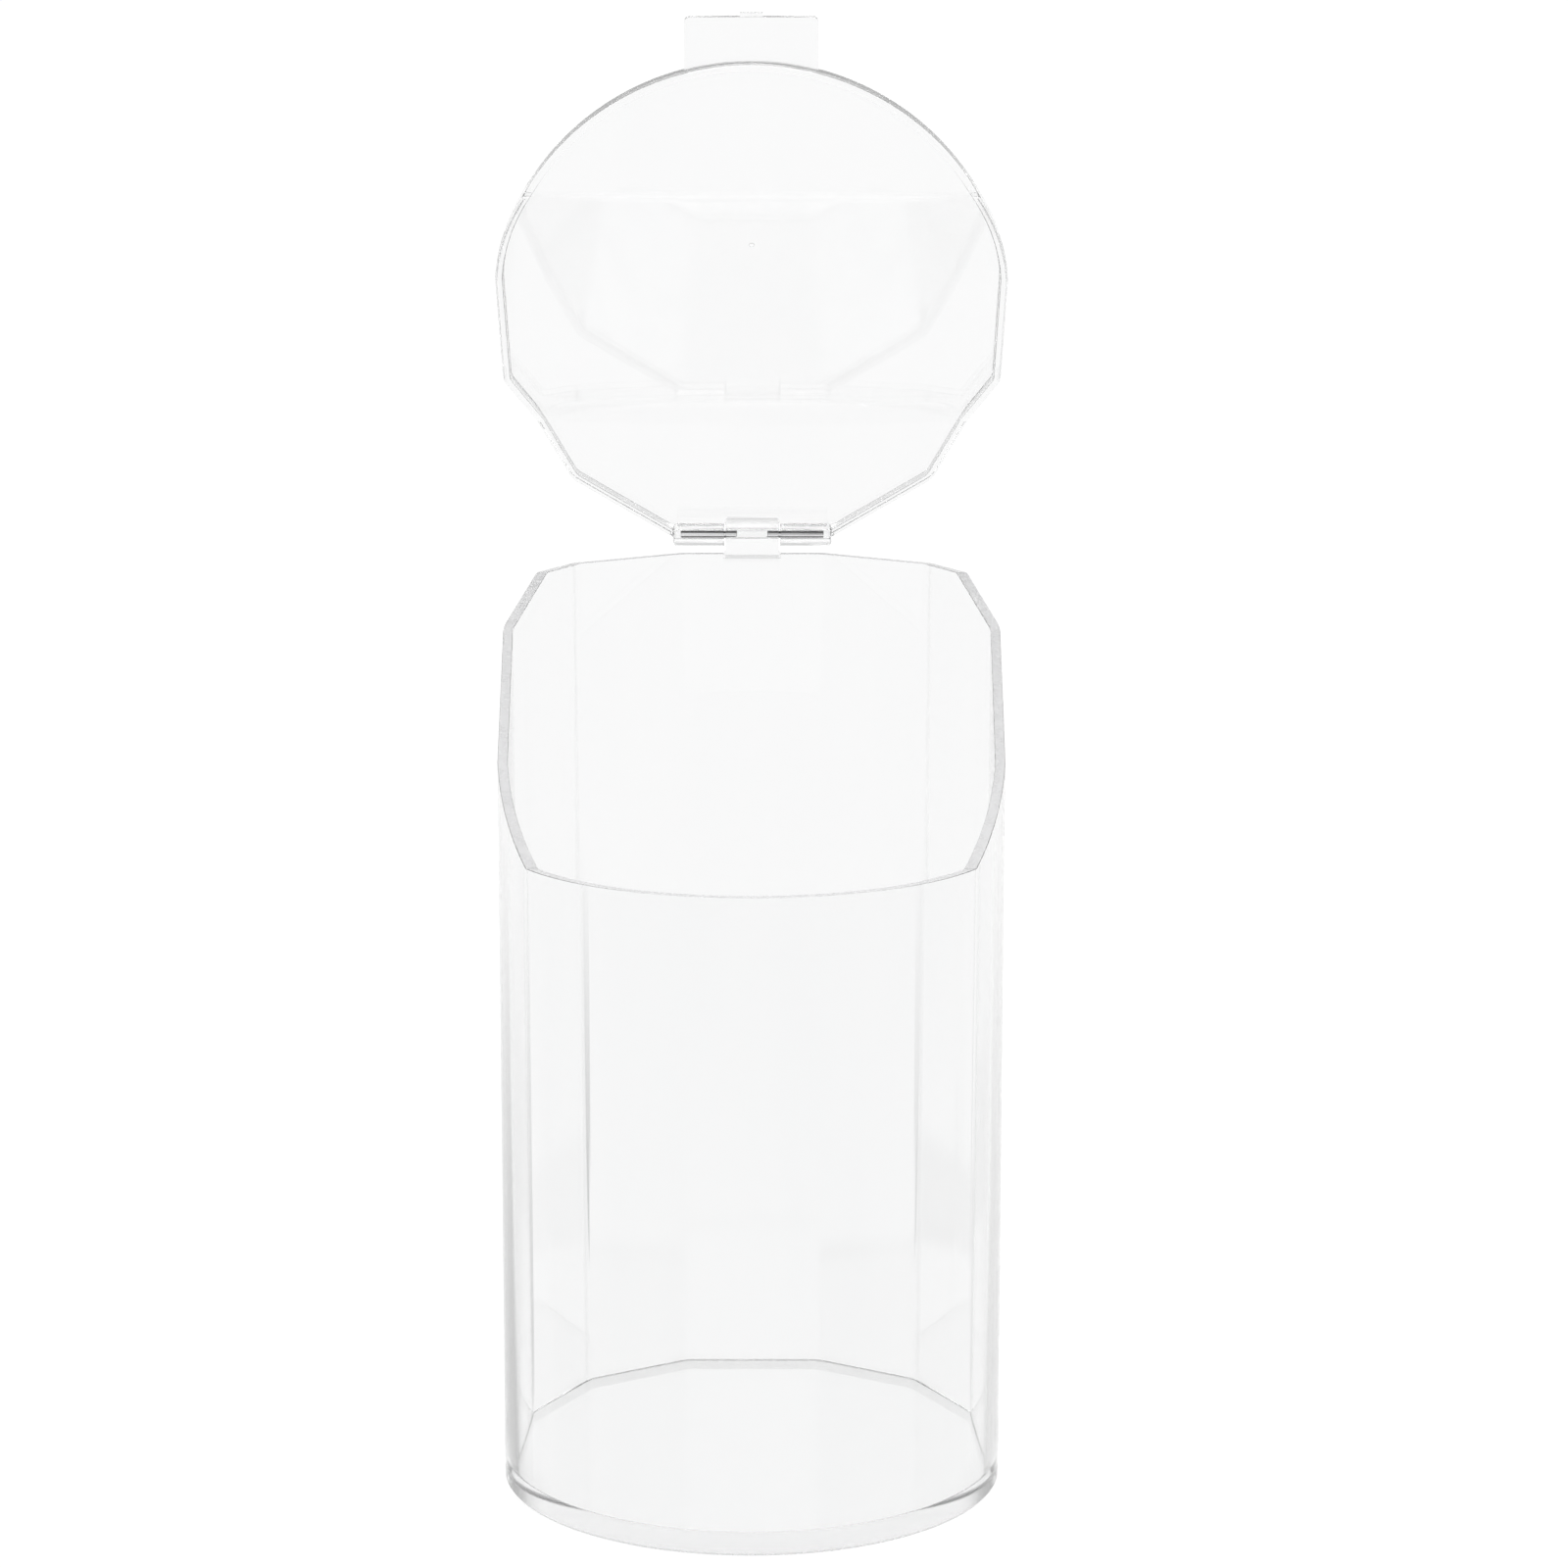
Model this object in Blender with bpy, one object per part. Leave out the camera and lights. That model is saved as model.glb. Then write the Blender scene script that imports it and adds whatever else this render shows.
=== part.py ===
"""Clear flip-lid holder for make-up brushes.

A tall moulded cup whose plan is a half twelve-sided figure at the back and one
smooth curve across the front.  Its rim runs in three planes: level at the back,
sloping down at the sides, level again at the front.  A shallow lid follows the
same three planes and turns on two short pins at the back.  The lid is shown
open.  Metres, +Z up, the front of the holder faces -Y, and the origin lies on
the table under the middle of the faceted plan.
"""
import math

import bmesh
import bpy
from mathutils import Matrix, Vector

# Plan of the holder, seen from above
half_width = 0.0525
back_reach = 0.0525
front_reach = 0.0620
corner_radius = 0.0060
corner_steps = 4
front_curve_steps = 36

# Corners of the facets from the back round to the side, as shares of the
# half width (across) and of the back reach (along)
facet_corner_shares = ((0.295, 1.0), (0.738, 0.733), (1.0, 0.270), (1.0, -0.267))

# Cup
rim_back_height = 0.1884
rim_front_height = 0.1375
slope_back_y = 0.0258
slope_front_y = -0.0354
wall_at_rim = 0.0020
wall_at_floor = 0.0026
floor_thickness = 0.0045
foot_edge_radius = 0.0010
foot_edge_steps = 3

# Lid, with its heights measured square to the rim below it
seat_gap = 0.0003
lid_rise = 0.0054
lid_plate = 0.0018
lid_lip = 0.0015
lid_overhang = 0.0005

# Finger tab on the front of the lid, with the stub left by its mould's gate
tab_width = 0.0269
tab_reach = 0.0090
tab_root = 0.0030
tab_corner = 0.0012
tab_step = 0.0001
gate_width = 0.0046
gate_reach = 0.0008
gate_thickness = 0.0010

# Hinge
barrel_radius = 0.00265
barrel_length = 0.0111
barrel_end_bevel = 0.0007
barrel_lift = 0.00145
knuckle_width = 0.0116
knuckle_radius = 0.0029
knuckle_gap = 0.00035
knuckle_clearance = 0.0004
knuckle_outer_drop = 0.0060
knuckle_inner_drop = 0.0022
leaf_reach = 0.0058
leaf_flat = 0.0042
leaf_drop = 0.0010
leaf_inset = 0.0009
round_steps = 32

# Hinge pins
pin_radius = 0.0008
pin_length = 0.0123
pin_set_in = 0.0025
pin_clearance = 0.0001
pin_end_bevel = 0.0002
pin_steps = 24

# How far a cutting shape runs past what it cuts
overrun = 0.0100

# How far the lid stands open, counted from closed
lid_open_angle = math.radians(81.5)

# Places that follow from the sizes above
hinge_y = back_reach
hinge_z = rim_back_height + barrel_lift + barrel_radius
hinge_point = Vector((0, hinge_y, hinge_z))
knuckle_half = knuckle_width / 2
barrel_start = knuckle_half + knuckle_gap
hinge_half = barrel_start + barrel_length
plate_under = rim_back_height + lid_rise - lid_plate
tab_back = tab_root - front_reach - lid_overhang
tab_tip = -(front_reach + lid_overhang + tab_reach)
tab_middle = rim_front_height + lid_rise - lid_plate / 2
side_turn = Matrix(((0, 0, 1, 0), (1, 0, 0, 0), (0, 1, 0, 0), (0, 0, 0, 1)))


def clear_scene():
    """Remove whatever the file opened with."""
    for thing in list(bpy.data.objects):
        bpy.data.objects.remove(thing, do_unlink=True)


def new_collection(name):
    """A collection linked under the scene."""
    group = bpy.data.collections.new(name)
    bpy.context.scene.collection.children.link(group)
    return group


def keep_in(thing, group):
    """Hold an object in one collection only."""
    for old in list(thing.users_collection):
        old.objects.unlink(thing)
    group.objects.link(thing)


def as_tool(thing):
    """Mark a shape that only cuts or joins."""
    thing.hide_render = True
    thing.display_type = "WIRE"
    keep_in(thing, tools)
    return thing


def rounded(before, corner, after, radius, steps):
    """Points of the arc that rounds one corner of an outline."""
    back = (before - corner).normalized()
    ahead = (after - corner).normalized()
    half = back.angle(ahead) / 2
    run = radius / math.tan(half)
    centre = corner + (back + ahead).normalized() * (radius / math.sin(half))
    start = corner + back * run - centre
    end = corner + ahead * run - centre
    sweep = start.angle_signed(end)
    points = []
    for step in range(steps + 1):
        turn = Matrix.Rotation(-sweep * step / steps, 2)
        points.append(centre + turn @ start)
    return points


def front_curve():
    """Centre and radius of the front curve, through both side corners."""
    side_front = facet_corner_shares[-1][1] * back_reach
    rise = half_width ** 2 + side_front ** 2 - front_reach ** 2
    centre_y = rise / (2 * (side_front + front_reach))
    return centre_y, centre_y + front_reach, side_front - centre_y


def facet_corners(grow):
    """The right-hand facet corners, with every facet moved outwards by grow."""
    corners = []
    for across, along in facet_corner_shares:
        corners.append(Vector((across * half_width, along * back_reach)))
    chain = [Vector((-corners[0].x, corners[0].y))] + corners
    normals = []
    for near, far in zip(chain, chain[1:]):
        normals.append(Vector((near.y - far.y, far.x - near.x)).normalized())
    moved = []
    for corner, one, other in zip(corners, normals, normals[1:]):
        moved.append(corner + grow * (one + other) / (1 + one.dot(other)))
    centre_y, radius, lean = front_curve()
    side = half_width + grow
    drop = math.copysign(math.sqrt((radius + grow) ** 2 - side ** 2), lean)
    moved.append(Vector((side, centre_y + drop)))
    return moved


def plan_outline(grow):
    """The holder's plan, moved outwards by grow or inwards when it is negative."""
    corners = facet_corners(grow)
    chain = [Vector((-corners[0].x, corners[0].y))] + corners
    right = []
    for before, corner, after in zip(chain, chain[1:], chain[2:]):
        right += rounded(before, corner, after, corner_radius + grow, corner_steps)
    centre_y, radius, lean = front_curve()
    last = corners[-1]
    reach = math.atan2(last.x, centre_y - last.y)
    front = []
    for step in range(front_curve_steps + 1):
        angle = reach * (1 - 2 * step / front_curve_steps)
        across = (radius + grow) * math.sin(angle)
        front.append(Vector((across, centre_y - (radius + grow) * math.cos(angle))))
    left = [Vector((-spot.x, spot.y)) for spot in reversed(right)]
    return right + front + left


def rim_line(lift):
    """Side view of the rim as (y, z), moved square to its planes by lift."""
    front_end = -(front_reach + tab_reach + overrun)
    back_end = back_reach + overrun
    line = [
        Vector((front_end, rim_front_height)),
        Vector((slope_front_y, rim_front_height)),
        Vector((slope_back_y, rim_back_height)),
        Vector((back_end, rim_back_height)),
    ]
    normals = []
    for near, far in zip(line, line[1:]):
        normals.append(Vector((near.y - far.y, far.x - near.x)).normalized())
    sides = [normals[0]] + normals + [normals[-1]]
    moved = []
    for spot, one, other in zip(line, sides, sides[1:]):
        moved.append(spot + lift * (one + other) / (1 + one.dot(other)))
    return moved


def outline_solid(name, points, thickness, place):
    """A flat outline given thickness, half of it to each side of its plane."""
    curve = bpy.data.curves.new(name + "_outline", "CURVE")
    curve.dimensions = "2D"
    curve.fill_mode = "BOTH"
    curve.extrude = thickness / 2
    spline = curve.splines.new("POLY")
    spline.points.add(len(points) - 1)
    for spot, point in zip(spline.points, points):
        spot.co = (point[0], point[1], 0, 1)
    spline.use_cyclic_u = True
    drawn = bpy.data.objects.new(name + "_outline", curve)
    drawn.matrix_world = place
    parts.objects.link(drawn)
    bpy.context.view_layer.update()
    depsgraph = bpy.context.evaluated_depsgraph_get()
    mesh = bpy.data.meshes.new_from_object(drawn.evaluated_get(depsgraph))
    mesh.name = name
    bpy.data.objects.remove(drawn)
    bpy.data.curves.remove(curve)
    work = bmesh.new()
    work.from_mesh(mesh)
    bmesh.ops.remove_doubles(work, verts=work.verts, dist=weld_distance)
    bmesh.ops.dissolve_limit(
        work, angle_limit=flat_angle, verts=work.verts, edges=work.edges
    )
    bmesh.ops.recalc_face_normals(work, faces=work.faces)
    work.to_mesh(mesh)
    work.free()
    solid = bpy.data.objects.new(name, mesh)
    solid.matrix_world = place
    parts.objects.link(solid)
    return solid


def plan_solid(name, points, low, high):
    """An outline seen from above, standing from low to high."""
    place = Matrix.Translation((0, 0, (low + high) / 2))
    return outline_solid(name, points, high - low, place)


def side_solid(name, points, width):
    """An outline seen from the side, as (y, z), running width along X."""
    return outline_solid(name, points, width, side_turn)


def loft(name, lower, low, upper, high):
    """A solid between two like outlines at two heights."""
    work = bmesh.new()
    edges = []
    for outline, height in ((lower, low), (upper, high)):
        ring = [work.verts.new((spot.x, spot.y, height)) for spot in outline]
        for near, far in zip(ring, ring[1:] + ring[:1]):
            edges.append(work.edges.new((near, far)))
    bmesh.ops.bridge_loops(work, edges=edges)
    bmesh.ops.holes_fill(work, edges=work.edges, sides=0)
    bmesh.ops.recalc_face_normals(work, faces=work.faces)
    mesh = bpy.data.meshes.new(name)
    work.to_mesh(mesh)
    work.free()
    solid = bpy.data.objects.new(name, mesh)
    parts.objects.link(solid)
    return solid


def rod(name, radius, start, end, steps):
    """A round rod on the hinge axis between two places along X."""
    bpy.ops.mesh.primitive_cylinder_add(
        vertices=steps,
        radius=radius,
        depth=end - start,
        location=((start + end) / 2, hinge_y, hinge_z),
        rotation=(0, math.radians(90), 0),
    )
    solid = bpy.context.active_object
    solid.name = name
    solid.data.name = name
    keep_in(solid, parts)
    return solid


def bevel_end(solid, width, side):
    """Round the rim of a rod's end; side picks the end at +1, -1 or, at 0, both."""
    work = bmesh.new()
    work.from_mesh(solid.data)
    highest = max(vert.co.z for vert in work.verts)
    edges = []
    for edge in work.edges:
        heights = [vert.co.z for vert in edge.verts]
        level = abs(heights[0] - heights[1]) < weld_distance
        if level and (side == 0 or heights[0] * side > highest / 2):
            edges.append(edge)
    bmesh.ops.bevel(
        work, geom=edges, offset=width, segments=2, profile=0.5, affect="EDGES"
    )
    work.to_mesh(solid.data)
    work.free()


def block(name, low, high):
    """A box between two corners."""
    bpy.ops.mesh.primitive_cube_add(size=1)
    solid = bpy.context.active_object
    solid.name = name
    solid.data.name = name
    size = Vector(high) - Vector(low)
    solid.data.transform(Matrix.Diagonal((size.x, size.y, size.z, 1)))
    solid.location = (Vector(low) + Vector(high)) / 2
    keep_in(solid, parts)
    return solid


def combine(target, tool, operation):
    """Cut, join or intersect one solid with another."""
    step = target.modifiers.new(operation.lower() + "_" + tool.name, "BOOLEAN")
    step.operation = operation
    step.solver = "EXACT"
    step.object = tool
    as_tool(tool)


def finish(thing, name, colour, roughness, metallic, transmission):
    """Give a piece its own material and smooth its round faces."""
    material = bpy.data.materials.new(name)
    material.use_nodes = True
    shader = material.node_tree.nodes["Principled BSDF"]
    shader.inputs["Base Color"].default_value = (*colour, 1.0)
    shader.inputs["Roughness"].default_value = roughness
    shader.inputs["Metallic"].default_value = metallic
    shader.inputs["Transmission Weight"].default_value = transmission
    thing.data.materials.clear()
    thing.data.materials.append(material)
    thing.data.shade_smooth()
    thing.data.set_sharp_from_angle(angle=smooth_angle)


def round_foot(solid):
    """Round the edge on which the cup stands."""
    work = bmesh.new()
    work.from_mesh(solid.data)
    lowest = min(vert.co.z for vert in work.verts)
    edges = []
    for edge in work.edges:
        if all(vert.co.z < lowest + weld_distance for vert in edge.verts):
            edges.append(edge)
    bmesh.ops.bevel(
        work,
        geom=edges,
        offset=foot_edge_radius,
        segments=foot_edge_steps,
        profile=0.5,
        affect="EDGES",
    )
    work.to_mesh(solid.data)
    work.free()


def knuckle_profile():
    """Side view of the knuckle that stands on the back rim."""
    buried = back_reach - wall_at_rim / 2
    outer_slope = knuckle_radius / (hinge_z - rim_back_height + knuckle_outer_drop)
    outer_foot = rim_back_height - knuckle_outer_drop
    outer_foot -= (back_reach - buried) / outer_slope
    points = [Vector((buried, outer_foot))]
    for step in range(round_steps // 2 + 1):
        angle = 2 * math.pi * step / round_steps
        across = hinge_y + knuckle_radius * math.cos(angle)
        points.append(Vector((across, hinge_z + knuckle_radius * math.sin(angle))))
    points.append(Vector((hinge_y - knuckle_radius, rim_back_height)))
    points.append(Vector((buried, rim_back_height - knuckle_inner_drop)))
    return points


def build_cup():
    """The faceted cup with its three-plane rim and the hinge's knuckle."""
    blank_top = rim_back_height + overrun
    cup = plan_solid("container", plan_outline(0), 0, blank_top)
    round_foot(cup)
    taper = (wall_at_floor - wall_at_rim) / (rim_back_height - floor_thickness)
    top_wall = wall_at_rim - taper * 2 * overrun
    core = loft(
        "cup_core",
        plan_outline(-wall_at_floor),
        floor_thickness,
        plan_outline(-top_wall),
        blank_top + overrun,
    )
    combine(cup, core, "DIFFERENCE")
    line = rim_line(0)
    ceiling = blank_top + overrun
    above = [Vector((line[-1].x, ceiling)), Vector((line[0].x, ceiling))]
    rim_cut = side_solid("rim_cut", line + above, 2 * (half_width + overrun))
    combine(cup, rim_cut, "DIFFERENCE")
    knuckle = side_solid("knuckle", knuckle_profile(), knuckle_width)
    combine(cup, knuckle, "UNION")
    bore_end = knuckle_half + overrun
    bore = rod("knuckle_bore", pin_radius + pin_clearance, -bore_end, bore_end, pin_steps)
    combine(cup, bore, "DIFFERENCE")
    return cup


def lid_band(name, low, high):
    """A band between two heights above the rim, wider than the lid."""
    points = rim_line(low) + list(reversed(rim_line(high)))
    return side_solid(name, points, 2 * (half_width + overrun))


def tab_outline():
    """Plan of the finger tab, with its two free corners rounded."""
    side = tab_width / 2
    corners = [Vector((side, tab_back)), Vector((side, tab_tip))]
    corners += [Vector((-side, tab_tip)), Vector((-side, tab_back))]
    right = rounded(corners[0], corners[1], corners[2], tab_corner, corner_steps)
    left = rounded(corners[1], corners[2], corners[3], tab_corner, corner_steps)
    return [corners[0]] + right + left + [corners[3]]


def leaf_profile():
    """Side view of the thickened strip between the barrels and the lid's plate."""
    middle = plate_under + lid_plate / 2
    low = plate_under - leaf_drop
    return [
        Vector((hinge_y, low)),
        Vector((hinge_y - leaf_flat, low)),
        Vector((hinge_y - leaf_reach, plate_under)),
        Vector((hinge_y - leaf_reach, middle)),
        Vector((hinge_y, middle)),
    ]


def build_lid():
    """The lid, drawn closed: a plate in three planes with a lip round its edge."""
    low = rim_front_height - overrun
    high = rim_back_height + lid_rise + overrun
    lid = plan_solid("lid", plan_outline(lid_overhang), low, high)
    combine(lid, lid_band("lid_body", seat_gap, lid_rise), "INTERSECT")
    inside = plan_outline(lid_overhang - lid_lip)
    hollow = plan_solid("lid_hollow", inside, low - overrun, high + overrun)
    combine(hollow, lid_band("lid_inside", -overrun, lid_rise - lid_plate), "INTERSECT")
    combine(lid, hollow, "DIFFERENCE")
    relief = block(
        "lip_relief",
        (-hinge_half, hinge_y - barrel_radius, rim_back_height - overrun),
        (hinge_half, hinge_y + overrun, plate_under),
    )
    combine(lid, relief, "DIFFERENCE")
    for side, name in ((-1, "barrel_left"), (1, "barrel_right")):
        ends = sorted((side * barrel_start, side * hinge_half))
        barrel = rod(name, barrel_radius, ends[0], ends[1], round_steps)
        bevel_end(barrel, barrel_end_bevel, side)
        combine(lid, barrel, "UNION")
    leaf = side_solid("leaf", leaf_profile(), 2 * (hinge_half - leaf_inset))
    combine(lid, leaf, "UNION")
    half_tab = lid_plate / 2 - tab_step
    tab = plan_solid("tab", tab_outline(), tab_middle - half_tab, tab_middle + half_tab)
    combine(lid, tab, "UNION")
    gate = block(
        "gate_stub",
        (-gate_width / 2, tab_tip - gate_reach, tab_middle - gate_thickness / 2),
        (gate_width / 2, tab_tip + tab_corner, tab_middle + gate_thickness / 2),
    )
    combine(lid, gate, "UNION")
    notch_half = knuckle_half + knuckle_gap
    notch = block(
        "knuckle_notch",
        (-notch_half, hinge_y - knuckle_radius - knuckle_clearance, rim_front_height),
        (notch_half, hinge_y + overrun, high + overrun),
    )
    combine(lid, notch, "DIFFERENCE")
    bore_end = hinge_half + overrun
    bore = rod("barrel_bore", pin_radius + pin_clearance, -bore_end, bore_end, pin_steps)
    combine(lid, bore, "DIFFERENCE")
    return lid


def build_pin(name, side):
    """One hinge pin, from inside the knuckle out through its barrel."""
    inner = knuckle_half - pin_set_in
    ends = sorted((side * inner, side * (inner + pin_length)))
    pin = rod(name, pin_radius, ends[0], ends[1], pin_steps)
    bevel_end(pin, pin_end_bevel, 0)
    return pin


def hang_on_hinge(things):
    """Put the lid and all that turns with it on the hinge, and open it."""
    hinge = bpy.data.objects.new("lid_hinge_axis", None)
    hinge.location = hinge_point
    parts.objects.link(hinge)
    bpy.context.view_layer.update()
    for thing in things:
        place = thing.matrix_world.copy()
        thing.parent = hinge
        thing.matrix_parent_inverse = hinge.matrix_world.inverted()
        thing.matrix_world = place
    bpy.context.view_layer.update()
    hinge.rotation_euler = (-lid_open_angle, 0, 0)
    bpy.context.view_layer.update()


# Limits for welding, flattening and shading
weld_distance = 0.000001
flat_angle = math.radians(0.1)
smooth_angle = math.radians(20)

clear_scene()
parts = new_collection("brush_holder")
tools = new_collection("brush_holder_tools")

container = build_cup()
cup_tools = set(tools.objects)
lid = build_lid()
pins = [build_pin("hinge_pin_left", -1), build_pin("hinge_pin_right", 1)]
lid_tools = [thing for thing in tools.objects if thing not in cup_tools]
hang_on_hinge([lid] + pins + lid_tools)

clear_colour = (0.93, 0.95, 0.96)
steel_colour = (0.55, 0.55, 0.56)
finish(container, "container_clear_styrene", clear_colour, 0.06, 0.0, 0.95)
finish(lid, "lid_clear_styrene", clear_colour, 0.05, 0.0, 0.95)
for pin in pins:
    finish(pin, pin.name + "_steel", steel_colour, 0.30, 1.0, 0.0)
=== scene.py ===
"""Clear flip-lid holder for make-up brushes, dressed for a studio picture.

The holder is one moulded cup with a faceted back and a curved front, a shallow
lid that follows the cup's three-plane rim, and two short steel pins on which the
lid turns.  Lengths are in metres, +Z is up and the front of the holder faces -Y.
"""
from __future__ import annotations

import logging
import math
from collections.abc import Callable
from dataclasses import dataclass
from enum import Enum

import bmesh
import bpy
from mathutils import Matrix, Vector


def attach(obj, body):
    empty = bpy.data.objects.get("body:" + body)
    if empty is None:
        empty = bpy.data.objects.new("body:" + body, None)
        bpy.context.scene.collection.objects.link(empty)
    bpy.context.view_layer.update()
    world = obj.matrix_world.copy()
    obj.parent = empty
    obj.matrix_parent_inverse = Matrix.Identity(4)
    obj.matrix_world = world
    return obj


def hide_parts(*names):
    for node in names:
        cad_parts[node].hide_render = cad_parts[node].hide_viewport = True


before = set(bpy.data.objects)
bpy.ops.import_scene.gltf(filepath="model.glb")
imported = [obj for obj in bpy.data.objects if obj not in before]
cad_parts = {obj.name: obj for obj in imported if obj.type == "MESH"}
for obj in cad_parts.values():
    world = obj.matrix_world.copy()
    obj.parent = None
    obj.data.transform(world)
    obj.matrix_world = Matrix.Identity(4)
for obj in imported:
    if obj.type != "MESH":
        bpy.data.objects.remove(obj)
log = logging.getLogger("brush_holder")

Thing = bpy.types.Object
Vert = bmesh.types.BMVert
Edge = bmesh.types.BMEdge
Face = bmesh.types.BMFace
Socket = bpy.types.NodeSocket
Triple = tuple[float, float, float]
Pair = tuple[float, float]

# Distances below which places count as one, and angles between faces.
MERGE = 1e-5
ON_PLANE = 2e-5
CUT_SLACK = 1e-6
FLAT = math.radians(0.1)
STEEP = math.radians(45)
SHARP = math.radians(50)
SMOOTH_BELOW = math.radians(35)

# How much of a face's direction is vertical where it looks up, and where it is level.
UPWARD = 0.5
LEVEL = 0.9

# The range in which most of a noise lies.
NOISE_SPAN = (0.3, 0.7)


class Part(Enum):
    """The kind of mesh element that a selection takes."""

    VERTS = "VERT"
    EDGES = "EDGE"
    FACES = "FACE"


class Join(Enum):
    """What one solid does to another."""

    ADD = "UNION"
    CUT = "DIFFERENCE"


class Side(Enum):
    """The left or the right of the holder, by the sign of X."""

    LEFT = -1
    RIGHT = 1


def activate(thing: Thing) -> None:
    """Select one object alone and make it the active one.

    Args:
        thing: The object.
    """
    bpy.ops.object.select_all(action="DESELECT")
    thing.select_set(True)
    bpy.context.view_layer.objects.active = thing


def settle(thing: Thing) -> Thing:
    """Move an object's place, turn and scale into its mesh.

    Args:
        thing: The object.

    Returns:
        The same object.
    """
    activate(thing)
    bpy.ops.object.transform_apply(location=True, rotation=True, scale=True)
    return thing


def named(name: str) -> Thing:
    """Name the new primitive and settle it.

    Args:
        name: The name for the object and its mesh.

    Returns:
        The active object.
    """
    thing = bpy.context.active_object
    thing.name = name
    thing.data.name = name
    return settle(thing)


def merge(target: Thing, tool: Thing, how: Join) -> None:
    """Join a solid to another or cut it away, and remove the tool.

    Args:
        target: The solid that stays.
        tool: The solid that is used up.
        how: Whether the tool adds or cuts.
    """
    step = target.modifiers.new(how.value.lower(), "BOOLEAN")
    step.operation = how.value
    step.solver = "EXACT"
    step.object = tool
    activate(target)
    bpy.ops.object.modifier_apply(modifier=step.name)
    bpy.data.objects.remove(tool)


class Bench:
    """Edit-mode work on one piece, as a with block."""

    def __init__(self, thing: Thing) -> None:
        """Hold the piece that is worked on."""
        self.thing = thing

    def __enter__(self) -> Bench:
        """Open the piece in edit mode with nothing selected.

        Returns:
            This bench.
        """
        activate(self.thing)
        bpy.ops.object.mode_set(mode="EDIT")
        bpy.ops.mesh.select_mode(type="VERT")
        bpy.ops.mesh.select_all(action="DESELECT")
        return self

    def __exit__(self, *problem: object) -> None:
        """Close edit mode."""
        bpy.ops.object.mode_set(mode="OBJECT")

    def pick(self, part: Part, test: Callable[..., bool]) -> int:
        """Select the elements that pass a test, and nothing else.

        Args:
            part: The kind of element.
            test: Takes a bmesh element and says whether it is wanted.

        Returns:
            How many elements were selected.
        """
        bpy.ops.mesh.select_mode(type=part.value)
        bpy.ops.mesh.select_all(action="DESELECT")
        work = bmesh.from_edit_mesh(self.thing.data)
        work.normal_update()
        stock = {
            Part.VERTS: work.verts,
            Part.EDGES: work.edges,
            Part.FACES: work.faces,
        }
        wanted = [element for element in stock[part] if test(element)]
        for element in wanted:
            element.select_set(True)
        work.select_flush_mode()
        bmesh.update_edit_mesh(self.thing.data)
        return len(wanted)

    def fill(self, part: Part, test: Callable[..., bool]) -> None:
        """Put a face or an edge between the elements that pass a test."""
        self.pick(part, test)
        bpy.ops.mesh.edge_face_add()

    def pick_all(self) -> None:
        """Select the whole piece."""
        bpy.ops.mesh.select_mode(type="VERT")
        bpy.ops.mesh.select_all(action="SELECT")

    def extrude(self, travel: Triple) -> None:
        """Extrude what is selected along a straight line."""
        bpy.ops.mesh.extrude_region_move(TRANSFORM_OT_translate={"value": travel})

    def point_out(self) -> None:
        """Turn every face outwards."""
        self.pick_all()
        bpy.ops.mesh.normals_make_consistent(inside=False)

    def grow(self, amount: float) -> None:
        """Offset what is selected along its normals by an even amount."""
        bpy.ops.transform.shrink_fatten(value=amount, use_even_offset=True)

    def clean(self) -> None:
        """Dissolve the edges that lie in a flat face."""
        self.pick_all()
        bpy.ops.mesh.dissolve_limited(angle_limit=FLAT)

    def round_edges(
        self, test: Callable[..., bool], radius: float, steps: int = 3
    ) -> int:
        """Round the edges that pass a test.

        Args:
            test: Takes an edge and says whether it is rounded.
            radius: The radius of the rounding.
            steps: How many faces the rounding has.

        Returns:
            How many edges were rounded.
        """
        count = self.pick(Part.EDGES, test)
        bpy.ops.mesh.bevel(
            affect="EDGES",
            offset=radius,
            offset_type="OFFSET",
            segments=steps,
            profile=0.5,
            clamp_overlap=False,
        )
        return count


def middle(edge: Edge) -> Vector:
    """The middle of an edge."""
    return (edge.verts[0].co + edge.verts[1].co) / 2


def on_side(place: Vector, side: Side | None) -> bool:
    """Whether a place is on one side of the holder, or None for both sides."""
    return side is None or side.value * place.x >= 0


def at_corner(vert: Vert, corner: Vector) -> bool:
    """Whether a vertex is at a corner of the plan, on either side."""
    aside = abs(abs(vert.co.x) - corner.x)
    return aside < MERGE and abs(vert.co.y - corner.y) < MERGE


def bend(edge: Edge) -> float:
    """Measure how far a surface bends at an edge.

    Args:
        edge: The edge.

    Returns:
        The angle in radians, or 0 where there aren't two faces.
    """
    if len(edge.link_faces) != 2:
        return 0.0
    return edge.link_faces[0].normal.angle(edge.link_faces[1].normal, 0.0)


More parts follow.
